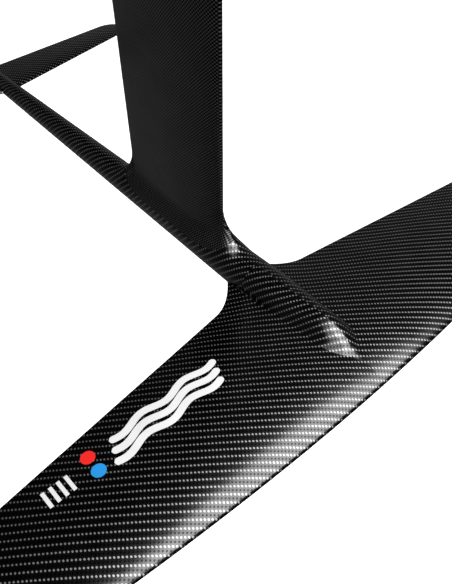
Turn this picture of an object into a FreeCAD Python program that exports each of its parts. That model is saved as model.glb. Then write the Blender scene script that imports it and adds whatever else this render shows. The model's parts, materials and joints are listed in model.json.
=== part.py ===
import FreeCAD, Part
import math
import os

import Sketcher
from FreeCAD import Placement, Rotation, Vector

# Hydrofoil for a board: a mast, a fuselage, a front wing and a stabilizer, all moulded carbon.
# Millimetres. +X points forward, +Y to port and +Z up.
# The origin is the middle of the head plate's top face, which bolts to the board.

AXIS_X = Vector(1, 0, 0)
AXIS_Y = Vector(0, 1, 0)
AXIS_Z = Vector(0, 0, 1)
FAR = 1500.0      # beyond the whole foil
MARGIN = 50.0     # beyond the fuselage and the wing sections

doc = FreeCAD.newDocument("Hydrofoil")

# ---------------------------------------------------------------- driving dimensions

DIMENSIONS = (
    ("mast_height", 850, "board face of the head plate down to the fuselage axis"),
    ("mast_chord", 129, "mast, leading edge to trailing edge"),
    ("mast_foot_thickness", 15.5, "mast section where it meets the fuselage"),
    ("mast_head_thickness", 19, "mast section at the head plate"),
    ("mast_edge", 1.2, "thickness of the mast's trailing edge"),
    ("mast_sink", 5, "how far below the board face the mast ends"),
    ("foot_front_radius", 42, "fillet from the mast's leading edge to the fuselage"),
    ("foot_front_reach", 0.75, "forward reach of that fillet, per its height"),
    ("foot_rear_radius", 31, "fillet from the mast's trailing edge to the fuselage"),
    ("foot_side_radius", 38, "fillet from the mast's flanks to the fuselage"),
    ("mast_laminate", 2, "wall of the mast and fuselage shells"),
    ("spar_front", 30, "front face of the mast spar, ahead of mid chord"),
    ("spar_rear", 16, "rear face of the mast spar, behind mid chord"),
    ("fuselage_radius", 15.8, "fuselage radius below the middle of the mast"),
    ("fuselage_growth", 0.019, "growth of that radius per millimetre forward"),
    ("fuselage_front", 108, "front face of the fuselage, where the front wing begins"),
    ("fuselage_rear", 388, "centre of the fuselage's round tail end, aft of the origin"),
    ("tail_step", 306, "step where the tail is cut away for the stabilizer"),
    ("tail_block_front", 285, "front face of the solid tail block"),
    ("seam_gap", 0.1, "gap of every push fit and seam"),
    ("tenon_root", 40, "rear end of the tenon inside the fuselage"),
    ("tenon_tip", 185, "front end of the tenon inside the front wing"),
    ("tenon_width", 22, "tenon, side to side"),
    ("tenon_depth", 18, "tenon, top to bottom"),
    ("plate_length", 196, "head plate, fore and aft"),
    ("plate_width", 114, "head plate, side to side"),
    ("plate_thickness", 10, "head plate"),
    ("plate_corner", 22, "corner radius of the head plate"),
    ("collar_depth", 24, "collar under the plate that holds the mast"),
    ("collar_wall", 8, "wall of the collar round the mast"),
    ("slot_spacing_long", 165, "slot spacing fore and aft"),
    ("slot_spacing_wide", 90, "slot spacing side to side"),
    ("slot_radius", 4.5, "half width of the slots, for M8 screws"),
    ("slot_length", 16, "slots, end to end"),
    ("wing_half_span", 470, "front wing, centre to tip"),
    ("wing_lead", 250, "front wing's leading edge on the centreline"),
    ("wing_trail", 106.5, "front wing's trailing edge, run straight to the centreline"),
    ("wing_trail_sweep", 0.135, "forward sweep of the trailing edge per millimetre of span"),
    ("wing_lead_sweep", 0.0002045, "backward curve of the leading edge, per square millimetre"),
    ("wing_root_thickness", 0.105, "front wing's thickness at the centreline, per chord"),
    ("wing_tip_thickness", 0.1, "front wing's thickness at the tip, per chord"),
    ("wing_root_camber", 0.02, "front wing's camber at the centreline, per chord"),
    ("wing_tip_camber", 0.018, "front wing's camber at the tip, per chord"),
    ("wing_edge", 1, "thickness of the front wing's trailing edge"),
    ("wing_round_start", 0.91, "share of the half span where the front wing's tip rounding begins"),
    ("root_spread", 52, "half width of the wing root's rearward flare"),
    ("root_flare", 0.0155, "rearward flare of the root, per square millimetre"),
    ("wing_drop", 5.3, "chord plane of the front wing below the fuselage axis"),
    ("wing_skin", 1.4, "laminate of the wing skins"),
    ("block_half_width", 18, "half width of the socket block inside the front wing"),
    ("web_front", 208, "front face of the wing's shear webs at the root"),
    ("web_width", 14, "shear webs, fore and aft"),
    ("web_reach", 330, "shear webs, centre to outer end"),
    ("core_reach", 430, "foam cores, centre to outer end"),
    ("web_taper", 8, "how far the webs run aft towards their outer ends"),
    ("bump_tip", 216, "front end of the bump on top of the front wing"),
    ("bump_narrow_start", 188, "where the bump begins to narrow"),
    ("bump_lower_start", 181, "where the bump's crest begins to fall"),
    ("bump_tip_height", 3, "bump's crest at its front end, above the fuselage axis"),
    ("insert_wall", 2, "wall of the threaded inserts"),
    ("washer_rim", 1, "rim of the cup washers round the screw heads"),
    ("screw_clearance", 0.2, "clearance round the screws in the parts they hold"),
    ("tenon_lead_in", 3, "chamfer round the tenon's front end"),
    ("wing_screw_radius", 4, "M8 screws of the front wing"),
    ("wing_screw_length", 20, "M8 screws, over all"),
    ("wing_screw_rear", 130, "rear screw of the front wing"),
    ("wing_screw_front", 165, "front screw of the front wing"),
    ("wing_screw_seat", 15.6, "face of the M8 heads below the fuselage axis"),
    ("tail_half_span", 200, "stabilizer, centre to tip"),
    ("tail_core_reach", 168, "stabilizer's core, centre to outer end"),
    ("tail_lead", 319.5, "stabilizer's leading edge on the centreline, aft of the origin"),
    ("tail_trail", 386, "stabilizer's trailing edge on the centreline, aft of the origin"),
    ("tail_lead_sweep", 0.19, "backward sweep of the leading edge per millimetre of span"),
    ("tail_trail_sweep", 0.03, "backward sweep of the trailing edge per millimetre of span"),
    ("tail_thickness", 8, "stabilizer section at its root"),
    ("tail_thinning", 0.5, "share of that thickness lost at the tip"),
    ("tail_edge", 0.8, "thickness of the stabilizer's trailing edge"),
    ("tail_round_start", 0.88, "share of the half span where the stabilizer's tip rounding begins"),
    ("tail_drop", 1.5, "chord plane of the stabilizer below the fuselage axis"),
    ("tail_skin", 1.1, "laminate of the stabilizer's skins"),
    ("seat_height", 1, "seat cut in the tail, above the fuselage axis"),
    ("shim_thickness", 1.2, "shim between the tail and the stabilizer"),
    ("shim_width", 15, "shim, side to side"),
    ("shim_length", 76, "shim, fore and aft"),
    ("shim_middle", 350, "middle of the shim, aft of the origin"),
    ("shim_clearance", 0.3, "clearance round the screws in the shim"),
    ("tail_insert_height", 4.6, "threaded inserts in the tail block"),
    ("tail_screw_radius", 2.5, "M5 screws of the stabilizer"),
    ("tail_screw_length", 12, "M5 screws, over all"),
    ("tail_screw_rear", 368, "rear screw of the stabilizer, aft of the origin"),
    ("tail_screw_front", 332, "front screw of the stabilizer, aft of the origin"),
    ("tail_screw_seat", 7, "face of the M5 heads below the fuselage axis"),
)

sheet = doc.addObject("Spreadsheet::Sheet", "Dimensions")
for row, (alias, value, note) in enumerate(DIMENSIONS, start=1):
    sheet.set(f"A{row}", alias)
    sheet.set(f"B{row}", str(value))
    sheet.setAlias(f"B{row}", alias)
    sheet.set(f"C{row}", note)
doc.recompute()


def size(alias):
    """A driving dimension, read from the sheet."""
    return float(sheet.get(alias))


AXIS_LEVEL = -size("mast_height")


# ---------------------------------------------------------------- curves of the foil

SECTION_STEPS = 16
STATIONS = [0.5 * (1 - math.cos(math.pi * i / SECTION_STEPS)) for i in range(SECTION_STEPS + 1)]


def thickness_form(station):
    """Four-digit thickness form: 0 at the leading edge, 1 at its thickest, 0 at the trailing edge."""
    return (2.969 * math.sqrt(station) - 1.260 * station - 3.516 * station ** 2
            + 2.843 * station ** 3 - 1.036 * station ** 4)


def fuselage_radius(x):
    return size("fuselage_radius") + size("fuselage_growth") * x


def smooth_step(low, high, value):
    """Rises smoothly from 0 at low to 1 at high."""
    t = min(max((value - low) / (high - low), 0.0), 1.0)
    return t * t * (3 - 2 * t)


def spline(points):
    curve = Part.BSplineCurve()
    curve.interpolate(points)
    return curve.toShape()


def closed_section(one_side, other_side):
    """Wire round a section: both sides run from the leading edge to a blunt trailing edge."""
    edge = Part.LineSegment(one_side[-1], other_side[-1]).toShape()
    return Part.Wire([spline(one_side), edge, spline(other_side)])


def quarter_drop(radius, depth):
    """How far a concave fillet has swung out when it is this deep below its tangent point."""
    depth = min(max(depth, 0.0), 0.97 * radius)
    return radius - math.sqrt(radius ** 2 - depth ** 2)


def mast_section(height, inset):
    """Horizontal section of the mast, this high above the fuselage axis, with its foot fillets."""
    half_chord = size("mast_chord") / 2
    front, rear, side = (size(f"foot_{name}_radius") for name in ("front", "rear", "side"))
    front_start = fuselage_radius(half_chord) + front
    rear_start = fuselage_radius(-half_chord) + rear
    side_start = 0.8 * side
    grown = (height - front_start) / (size("mast_height") - front_start)
    thickness = size("mast_foot_thickness")
    thickness += max(grown, 0.0) * (size("mast_head_thickness") - thickness)
    half = thickness / 2 + quarter_drop(side, side_start - height) - inset
    reach = size("foot_front_reach") * quarter_drop(front, front_start - height)
    lead = half_chord + reach - 2.5 * inset
    trail = -half_chord - quarter_drop(rear, rear_start - height) + 6 * inset
    edge = size("mast_edge") / 2
    level = AXIS_LEVEL + height
    port = [Vector(lead + (trail - lead) * s, half * thickness_form(s) + edge * s, level)
            for s in STATIONS]
    starboard = [Vector(point.x, -point.y, point.z) for point in port]
    return closed_section(port, starboard)


def rounded_tip(outboard, start, least, lead, trail):
    """Edges drawn together towards a rounded tip, and the share of the thickness left there."""
    left = 1.0
    if outboard > start:
        left = math.sqrt(max(1 - ((outboard - start) / (1 - start)) ** 2, least))
    middle = 0.45 * lead + 0.55 * trail
    return middle + left * (lead - middle), middle + left * (trail - middle), left


def wing_section(y, inset):
    """Upright section of the front wing at this distance from the centreline."""
    lead = size("wing_lead") - size("wing_lead_sweep") * y ** 2
    trail = size("wing_trail") + size("wing_trail_sweep") * y
    outboard = y / size("wing_half_span")
    thickness, camber = [
        (lead - trail) * (root + (tip - root) * outboard)
        for root, tip in ((size("wing_root_thickness"), size("wing_tip_thickness")),
                          (size("wing_root_camber"), size("wing_tip_camber")))]
    lead, trail, left = rounded_tip(outboard, size("wing_round_start"), 0.01, lead, trail)
    trail -= size("root_flare") * max(size("root_spread") - y, 0.0) ** 2
    return profile_wire(lead - 2 * inset, trail + 6 * inset, thickness * left / 2 - inset,
                        camber * left, size("wing_edge") / 2,
                        lambda x, z: Vector(x, y, AXIS_LEVEL - size("wing_drop") + z))


def tail_section(y, inset):
    """Upright section of the stabilizer at this distance from the centreline."""
    outboard = y / size("tail_half_span")
    lead = -size("tail_lead") - size("tail_lead_sweep") * y
    trail = -size("tail_trail") - size("tail_trail_sweep") * y
    thickness = size("tail_thickness") * (1 - size("tail_thinning") * outboard)
    lead, trail, left = rounded_tip(outboard, size("tail_round_start"), 0.02, lead, trail)
    return profile_wire(lead - 2 * inset, trail + 5 * inset, thickness * left / 2 - inset, 0.0,
                        size("tail_edge") / 2,
                        lambda x, z: Vector(x, y, AXIS_LEVEL - size("tail_drop") + z))


def profile_wire(lead, trail, half, camber, edge, place):
    """Cambered section between two edges; place puts its (x, z) points in space."""
    chord = lead - trail
    upper, lower = [], []
    for s in STATIONS:
        middle = 4 * camber * s * (1 - s)
        reach = half * thickness_form(s) + edge * s
        upper.append(place(lead - chord * s, middle + reach))
        lower.append(place(lead - chord * s, middle - reach))
    return closed_section(upper, lower)


def bump_section(x, inset):
    """Cross-section of the bump that carries the fuselage's line over the front wing."""
    start = size("fuselage_front")
    tip = size("bump_tip")
    radius = fuselage_radius(x)
    narrow_start = size("bump_narrow_start")
    lower_start = size("bump_lower_start")
    narrowing = max(x - narrow_start, 0.0) / (tip - narrow_start)
    lowering = max(x - lower_start, 0.0) / (tip - lower_start)
    belly = (x - start) / (tip - start)
    peaking = smooth_step(start + 12, start + 82, x)
    waist = smooth_step(start + 22, narrow_start, x)
    half_width = radius * (1 - 0.10 * waist - 0.55 * narrowing ** 2.2) - inset
    left = max(1 - lowering ** 1.7, 0.0) ** 0.75
    crest = size("bump_tip_height")
    top = crest + (radius - crest) * left - inset
    bottom = radius * (1 - 0.9 * belly ** 3) - inset
    turns = [math.pi * i / SECTION_STEPS for i in range(SECTION_STEPS + 1)]
    power = 1 + 0.56 * peaking
    roof = [Vector(x, half_width * math.cos(a), AXIS_LEVEL + top * abs(math.sin(a)) ** power)
            for a in turns]
    floor = [Vector(x, -half_width * math.cos(a), AXIS_LEVEL - bottom * math.sin(a)) for a in turns]
    return Part.Wire([spline(roof), spline(floor)])


# ---------------------------------------------------------------- solids of the foil

def cylinder_between(x_low, x_high, inset):
    """Tapering fuselage body between two stations, its radius less the inset."""
    return Part.makeCone(fuselage_radius(x_low) - inset, fuselage_radius(x_high) - inset,
                         x_high - x_low, Vector(x_low, 0, AXIS_LEVEL), AXIS_X)


def block(x_low, x_high, y_low, y_high, z_low, z_high):
    """Box whose z limits are measured from the fuselage axis."""
    return Part.makeBox(x_high - x_low, y_high - y_low, z_high - z_low,
                        Vector(x_low, y_low, AXIS_LEVEL + z_low))


def slab(x_low, x_high, z_low=-MARGIN, z_high=MARGIN):
    """Box across the whole fuselage between two stations, its z limits measured from the axis."""
    return block(x_low, x_high, -MARGIN, MARGIN, z_low, z_high)


def upright(radius, x, z_low, z_high):
    """Upright cylinder on the centreline, its ends measured from the fuselage axis."""
    return Part.makeCylinder(radius, z_high - z_low, Vector(x, 0, AXIS_LEVEL + z_low), AXIS_Z)


def mast_solid(inset, top):
    """Straight mast above the foot, up to this height above the fuselage axis."""
    return Part.makeLoft([mast_section(h, inset) for h in (foot_top, top)], True, True)


def foot_solid(inset):
    """Flared foot of the mast, down into the fuselage."""
    heights = [foot_top, 52, 45, 38, 32, 27, 23, 20, 17.5, 14, 9]
    return Part.makeLoft([mast_section(h, inset) for h in heights], True, False)


def mirrored(shape):
    return shape.mirror(Vector(0, 0, 0), AXIS_Y)


def wing_solid(inset, reach):
    """Both halves of the front wing, out to this distance from the centreline."""
    spans = [0, 12, 18, 24, 31, 39, 52, 80, 140, 220, 300, 370, 415, 430, 441, 453, 462, 468]
    spans = [y for y in spans if y < reach] + [reach]
    half = Part.makeLoft([wing_section(y, inset) for y in spans], True, False)
    return half.fuse(mirrored(half))


def tail_solid(inset, reach):
    """Both halves of the stabilizer, out to this distance from the centreline."""
    spans = [0, 30, 60, 90, 120, 145, 165, 178, 187, 193, 197]
    spans = [y for y in spans if y < reach] + [reach]
    half = Part.makeLoft([tail_section(y, inset) for y in spans], True, False)
    return half.fuse(mirrored(half))


def bump_solid(inset):
    start = size("fuselage_front") + size("seam_gap")
    tip = size("bump_tip") - 7 * inset
    count = 12
    stations = [start + (tip - start) * math.sin(math.pi / 2 * i / count) for i in range(count + 1)]
    return Part.makeLoft([bump_section(x, inset) for x in stations], True, False)


def feature(label, shape):
    """Sub-part whose doubly curved shape has no sketch; the label is the node's name."""
    sub_part = doc.addObject("Part::Feature", label)
    sub_part.Shape = shape
    sub_part.Label = label
    return sub_part


nodes = []


def node(sub_part, label):
    sub_part.Label = label
    nodes.append(sub_part)
    return sub_part


foot_top = fuselage_radius(size("mast_chord") / 2) + size("foot_front_radius")
mast_top = size("mast_height") - size("mast_sink")
laminate = size("mast_laminate")
gap = size("seam_gap")
front = size("fuselage_front")
rear = -size("fuselage_rear")
step = -size("tail_step")
seat = size("seat_height")
parting = -size("wing_drop")

port_half = block(-FAR, FAR, 0, FAR, -FAR, FAR)
starboard_half = block(-FAR, FAR, -FAR, 0, -FAR, FAR)
seat_cut = slab(rear - MARGIN, step, z_high=seat)

tail_cap = Part.makeSphere(fuselage_radius(rear), Vector(rear, 0, AXIS_LEVEL))
tail_hollow = Part.makeSphere(fuselage_radius(rear) - laminate, Vector(rear, 0, AXIS_LEVEL))
fuselage_outer = cylinder_between(rear, front, 0).fuse(tail_cap)
fuselage_inner = cylinder_between(rear, front, laminate).fuse(tail_hollow)
mast_outer = mast_solid(0, mast_top)
mast_inner = mast_solid(laminate, mast_top)
foot_outer = foot_solid(0)
foot_inner = foot_solid(laminate)

# ---------------------------------------------------------------- mast and fuselage

outer = fuselage_outer.fuse([foot_outer, mast_outer])
inner = fuselage_inner.fuse([foot_inner, mast_inner])
shell = outer.cut(inner).cut(seat_cut)
node(feature("shell_port", shell.common(port_half)), "mast_fuselage_shell_port")
node(feature("shell_starboard", shell.common(starboard_half)), "mast_fuselage_shell_starboard")

tenon_box = block(size("tenon_root"), FAR, -size("tenon_width") / 2, size("tenon_width") / 2,
                  -size("tenon_depth") / 2, size("tenon_depth") / 2)
block_front = -size("tail_block_front")
node(feature("fuselage_filling", fuselage_inner.common(slab(block_front, front))
             .cut(tenon_box)), "fuselage_core")
node(feature("foot_filling", foot_inner.cut(fuselage_inner)), "mast_foot_block")

spar_front = size("spar_front")
spar_rear = -size("spar_rear")
for label, x_low, x_high in (("mast_core_trailing", -FAR, spar_rear),
                             ("mast_spar", spar_rear, spar_front),
                             ("mast_core_leading", spar_front, FAR)):
    node(feature(label, mast_inner.common(slab(x_low, x_high, -FAR, FAR))), label)


# ---------------------------------------------------------------- sketch and primitive helpers

def bind(item, **sizes):
    """Bind properties of a document object to expressions of the sheet's cells."""
    for name, expression in sizes.items():
        item.setExpression(name, expression)
    return item


def cell(text):
    """Expression with each @word standing for that cell of the sheet."""
    return text.replace("@", "Dimensions.")


def new_body(name):
    return doc.addObject("PartDesign::Body", name)


def new_sketch(body, role, name):
    """Sketch on one of the body's own origin planes."""
    sketch = body.newObject("Sketcher::SketchObject", name)
    plane = [item for item in body.Origin.OriginFeatures if item.Role == role][0]
    sketch.AttachmentSupport = [(plane, "")]
    sketch.MapMode = "FlatFace"
    return sketch


def constrain(sketch, expression, *definition):
    """Add a sized constraint and bind it to the sheet."""
    index = sketch.addConstraint(Sketcher.Constraint(*definition))
    sketch.setExpression(f"Constraints[{index}]", cell(expression))


def centred_rectangle(sketch, length, width, length_rule, width_rule):
    """Rectangle round the sketch's origin, both its sizes bound to the sheet."""
    corners = [Vector(sx * length / 2, sy * width / 2, 0)
               for sx, sy in ((-1, -1), (1, -1), (1, 1), (-1, 1))]
    sides = [sketch.addGeometry(Part.LineSegment(corners[i], corners[(i + 1) % 4]), False)
             for i in range(4)]
    for i in range(4):
        sketch.addConstraint(Sketcher.Constraint("Coincident", sides[i], 2, sides[(i + 1) % 4], 1))
    for i, direction in enumerate(("Horizontal", "Vertical", "Horizontal", "Vertical")):
        sketch.addConstraint(Sketcher.Constraint(direction, sides[i]))
    sketch.addConstraint(Sketcher.Constraint("Symmetric", sides[0], 1, sides[2], 1, -1, 1))
    constrain(sketch, length_rule, "DistanceX", sides[0], 1, sides[0], 2, length)
    constrain(sketch, width_rule, "DistanceY", sides[1], 1, sides[1], 2, width)


def placed_circle(sketch, x, radius, x_rule, radius_rule):
    """Circle on the sketch's horizontal axis, ahead of or behind its origin."""
    circle = sketch.addGeometry(Part.Circle(Vector(x, 0, 0), AXIS_Z, radius), False)
    sketch.addConstraint(Sketcher.Constraint("PointOnObject", circle, 3, -1))
    constrain(sketch, radius_rule, "Radius", circle, radius)
    ends = (-1, 1, circle, 3) if x > 0 else (circle, 3, -1, 1)
    constrain(sketch, x_rule, "DistanceX", *ends, abs(x))


def placed_slot(sketch, side_x, side_y):
    """One slot of the head plate; its long way runs fore and aft."""
    radius = size("slot_radius")
    straight = size("slot_length") / 2 - radius
    x = side_x * size("slot_spacing_long") / 2
    y = side_y * size("slot_spacing_wide") / 2
    quarter = math.pi / 2
    aft = Part.ArcOfCircle(Part.Circle(Vector(x - straight, y, 0), AXIS_Z, radius),
                           quarter, 3 * quarter)
    fore = Part.ArcOfCircle(Part.Circle(Vector(x + straight, y, 0), AXIS_Z, radius),
                            -quarter, quarter)
    top = Part.LineSegment(Vector(x - straight, y + radius, 0), Vector(x + straight, y + radius, 0))
    bottom = Part.LineSegment(Vector(x - straight, y - radius, 0), Vector(x + straight, y - radius, 0))
    aft, fore, top, bottom = (sketch.addGeometry(item, False) for item in (aft, fore, top, bottom))
    for line, line_end, arc, arc_end in ((top, 1, aft, 1), (top, 2, fore, 2),
                                         (bottom, 1, aft, 2), (bottom, 2, fore, 1)):
        sketch.addConstraint(Sketcher.Constraint("Tangent", line, line_end, arc, arc_end))
    sketch.addConstraint(Sketcher.Constraint("Equal", aft, fore))
    sketch.addConstraint(Sketcher.Constraint("Horizontal", top))
    constrain(sketch, "@slot_radius", "Radius", aft, radius)
    for arc, way in ((aft, -1), (fore, 1)):
        centre_x = x + way * straight
        ends = (-1, 1, arc, 3) if side_x > 0 else (arc, 3, -1, 1)
        sign = "+" if way * side_x > 0 else "-"
        constrain(sketch, f"@slot_spacing_long / 2 {sign} (@slot_length / 2 - @slot_radius)",
                  "DistanceX", *ends, abs(centre_x))
    ends = (-1, 1, aft, 3) if side_y > 0 else (aft, 3, -1, 1)
    constrain(sketch, "@slot_spacing_wide / 2", "DistanceY", *ends, abs(y))


def pad(body, sketch, name, length_rule, downwards=False, both_ways=False):
    item = body.newObject("PartDesign::Pad", name)
    item.Profile = sketch
    item.Reversed = downwards
    item.Midplane = both_ways
    return bind(item, Length=cell(length_rule))


def through_pocket(body, sketch, name):
    item = body.newObject("PartDesign::Pocket", name)
    item.Profile = sketch
    item.Type = "ThroughAll"
    item.Midplane = True
    return item


def upright_edges(shape):
    return [f"Edge{i}" for i, edge in enumerate(shape.Edges, start=1)
            if abs(edge.tangentAt(edge.FirstParameter).z) > 0.99]


def lower(item, rule):
    """Place a sub-part this far below the origin, along its own upright axis."""
    item.setExpression("Placement.Base.z", cell(rule))
    return item


# ---------------------------------------------------------------- head plate

def build_head_plate():
    body = new_body("HeadPlateBlank")
    outline = new_sketch(body, "XY_Plane", "PlateOutline")
    centred_rectangle(outline, size("plate_length"), size("plate_width"),
                      "@plate_length", "@plate_width")
    plate = pad(body, outline, "Plate", "@plate_thickness", downwards=True)
    doc.recompute()
    rounding = body.newObject("PartDesign::Fillet", "PlateCorners")
    rounding.Base = (plate, upright_edges(plate.Shape))
    bind(rounding, Radius=cell("@plate_corner"))
    collar_outline = new_sketch(body, "XY_Plane", "CollarOutline")
    centred_rectangle(collar_outline, size("mast_chord") + 2 * size("collar_wall"),
                      size("mast_head_thickness") + 2 * size("collar_wall"),
                      "@mast_chord + 2 * @collar_wall", "@mast_head_thickness + 2 * @collar_wall")
    collar = pad(body, collar_outline, "Collar", "@plate_thickness + @collar_depth", downwards=True)
    doc.recompute()
    collar_bottom = -size("plate_thickness") - size("collar_depth")
    upright = [f"Edge{i}" for i, edge in enumerate(collar.Shape.Edges, start=1)
               if abs(edge.BoundBox.ZMin - collar_bottom) < 0.01
               and edge.BoundBox.ZLength > size("collar_depth") / 2]
    collar_corners = body.newObject("PartDesign::Fillet", "CollarCorners")
    collar_corners.Base = (collar, upright)
    bind(collar_corners, Radius=cell("@mast_head_thickness / 2 + @collar_wall - 0.5"))
    slots = new_sketch(body, "XY_Plane", "BoardSlots")
    for side_x in (-1, 1):
        for side_y in (-1, 1):
            placed_slot(slots, side_x, side_y)
    through_pocket(body, slots, "BoardSlotCuts")
    doc.recompute()
    return body


head_blank = build_head_plate()
mast_end = feature("MastEnd", mast_outer)
head_plate = doc.addObject("Part::Cut", "HeadPlate")
head_plate.Base = head_blank
head_plate.Tool = mast_end
node(head_plate, "head_plate")


# ---------------------------------------------------------------- tenon, tail block and shim

def build_tenon():
    """Carbon tongue that is bonded into the fuselage and slides into the front wing."""
    body = new_body("TenonBody")
    outline = new_sketch(body, "XY_Plane", "TenonOutline")
    centred_rectangle(outline, size("tenon_tip") - size("tenon_root"), size("tenon_width"),
                      "@tenon_tip - @tenon_root", "@tenon_width")
    bar = pad(body, outline, "TenonBar", "@tenon_depth", both_ways=True)
    doc.recompute()
    nose = body.newObject("PartDesign::Chamfer", "TenonLeadIn")
    tip_x = (size("tenon_tip") - size("tenon_root")) / 2
    nose.Base = (bar, [f"Edge{i}" for i, edge in enumerate(bar.Shape.Edges, start=1)
                       if edge.BoundBox.XMin > tip_x - 0.01])
    bind(nose, Size=cell("@tenon_lead_in"))
    holes = new_sketch(body, "XY_Plane", "InsertHoles")
    middle = (size("tenon_tip") + size("tenon_root")) / 2
    for place in ("front", "rear"):
        offset = size(f"wing_screw_{place}") - middle
        placed_circle(holes, offset, size("wing_screw_radius") + size("insert_wall"),
                      f"abs(@wing_screw_{place} - (@tenon_tip + @tenon_root) / 2)",
                      "@wing_screw_radius + @insert_wall")
    through_pocket(body, holes, "InsertHoleCuts")
    body.setExpression("Placement.Base.x", cell("(@tenon_tip + @tenon_root) / 2"))
    return lower(body, "-@mast_height")


def build_shim():
    """Thin flat sheet that packs the stabilizer off the tail's seat."""
    body = new_body("ShimBody")
    outline = new_sketch(body, "XY_Plane", "ShimOutline")
    centred_rectangle(outline, size("shim_length"), size("shim_width"),
                      "@shim_length", "@shim_width")
    pad(body, outline, "ShimSheet", "@shim_thickness", downwards=True)
    holes = new_sketch(body, "XY_Plane", "ShimHoles")
    for place in ("front", "rear"):
        offset = size("shim_middle") - size(f"tail_screw_{place}")
        placed_circle(holes, offset, size("tail_screw_radius") + size("shim_clearance"),
                      f"abs(@shim_middle - @tail_screw_{place})",
                      "@tail_screw_radius + @shim_clearance")
    through_pocket(body, holes, "ShimHoleCuts")
    body.setExpression("Placement.Base.x", cell("-@shim_middle"))
    return lower(body, "@seat_height - @mast_height")


node(build_tenon(), "fuselage_tenon")
node(build_shim(), "stabilizer_shim")


# ---------------------------------------------------------------- screws, washers and inserts

def cylinder(name, radius_rule, height_rule, x_rule, z_rule):
    item = doc.addObject("Part::Cylinder", name)
    bind(item, Radius=cell(radius_rule), Height=cell(height_rule))
    item.setExpression("Placement.Base.x", cell(x_rule))
    return lower(item, z_rule)


def cone(name, low_rule, high_rule, height_rule, x_rule, z_rule):
    item = doc.addObject("Part::Cone", name)
    bind(item, Radius1=cell(low_rule), Radius2=cell(high_rule), Height=cell(height_rule))
    item.setExpression("Placement.Base.x", cell(x_rule))
    return lower(item, z_rule)


def joined(name, *items):
    fused = doc.addObject("Part::MultiFuse", name)
    fused.Shapes = list(items)
    return fused


def cut_away(name, base, tool):
    cut = doc.addObject("Part::Cut", name)
    cut.Base = base
    cut.Tool = tool
    return cut


def together(label, items):
    """Identical pieces that share a node, each still a solid of its own."""
    group = doc.addObject("Part::Compound", label)
    group.Links = items
    return node(group, label)


def countersunk_screw(name, family, x_rule):
    """Countersunk screw driven from below: its head's flat face is at the bottom."""
    radius = f"@{family}_screw_radius"
    face = f"-@mast_height - @{family}_screw_seat"
    head = cone(f"{name}Head", f"2 * {radius}", radius, radius, x_rule, face)
    shank = cylinder(f"{name}Shank", radius, f"@{family}_screw_length", x_rule, face)
    socket = doc.addObject("Part::Prism", f"{name}Socket")
    socket.Polygon = 6
    bind(socket, Circumradius=cell(f"0.72 * {radius}"), Height=cell(f"0.75 * {radius}"))
    socket.setExpression("Placement.Base.x", cell(x_rule))
    lower(socket, face)
    return cut_away(name, joined(f"{name}Blank", head, shank), socket)


def cup_washer(name, family, x_rule):
    """Conical washer that carries the head of a countersunk screw."""
    radius = f"@{family}_screw_radius"
    face = f"-@mast_height - @{family}_screw_seat"
    ring = cylinder(f"{name}Ring", f"2 * {radius} + @washer_rim", radius, x_rule, face)
    seat_cone = cone(f"{name}Seat", f"2 * {radius}", radius, radius, x_rule, face)
    return cut_away(name, ring, seat_cone)


def threaded_insert(name, family, x_rule, z_rule, height_rule):
    """Metal bush with a thread inside, bonded into the carbon."""
    bush = cylinder(f"{name}Bush", f"@{family}_screw_radius + @insert_wall", height_rule, x_rule, z_rule)
    bore = cylinder(f"{name}Bore", f"@{family}_screw_radius", height_rule, x_rule, z_rule)
    return cut_away(name, bush, bore)


WING_SCREWS = {"Front": "@wing_screw_front", "Rear": "@wing_screw_rear"}
TAIL_SCREWS = {"Front": "-@tail_screw_front", "Rear": "-@tail_screw_rear"}

together("front_wing_screws", [countersunk_screw(f"WingScrew{place}", "wing", x_rule)
                               for place, x_rule in WING_SCREWS.items()])
together("front_wing_cup_washers", [cup_washer(f"WingWasher{place}", "wing", x_rule)
                                    for place, x_rule in WING_SCREWS.items()])
together("tenon_inserts", [threaded_insert(f"TenonInsert{place}", "wing", x_rule,
                                           "-@mast_height - @tenon_depth / 2",
                                           "@tenon_depth - @insert_wall")
                           for place, x_rule in WING_SCREWS.items()])
together("stabilizer_screws", [countersunk_screw(f"TailScrew{place}", "tail", x_rule)
                               for place, x_rule in TAIL_SCREWS.items()])
together("stabilizer_cup_washers", [cup_washer(f"TailWasher{place}", "tail", x_rule)
                                    for place, x_rule in TAIL_SCREWS.items()])
together("tail_inserts", [threaded_insert(f"TailInsert{place}", "tail", x_rule,
                                          "@seat_height - @mast_height", "@tail_insert_height")
                          for place, x_rule in TAIL_SCREWS.items()])


def holes(places, radius, z_low, z_high):
    """Upright holes at several stations, as one tool."""
    return [upright(radius, x, z_low, z_high) for x in places]


# ---------------------------------------------------------------- tail block

tail_places = [-size(f"tail_screw_{place}") for place in ("front", "rear")]
wing_places = [size(f"wing_screw_{place}") for place in ("front", "rear")]
tail_block = fuselage_inner.common(slab(rear - MARGIN, block_front)).cut(seat_cut)
tail_block = tail_block.cut(holes(tail_places, size("tail_screw_radius") + size("insert_wall"), 0,
                                  seat + size("tail_insert_height")))
node(feature("tail_filling", tail_block), "tail_block")

# ---------------------------------------------------------------- front wing

wing_outer = wing_solid(0, size("wing_half_span"))
wing_inner = wing_solid(size("wing_skin"), size("core_reach"))
bump_outer = bump_solid(0)
bump_inner = bump_solid(size("wing_skin"))
fuselage_room = cylinder_between(rear, front + gap, -gap)
washer_radius = 2 * size("wing_screw_radius") + size("washer_rim")
head_face = -size("wing_screw_seat")
washer_top = head_face + size("wing_screw_radius")
wing_cuts = [fuselage_room] + holes(wing_places, washer_radius, -MARGIN, washer_top)

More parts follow.
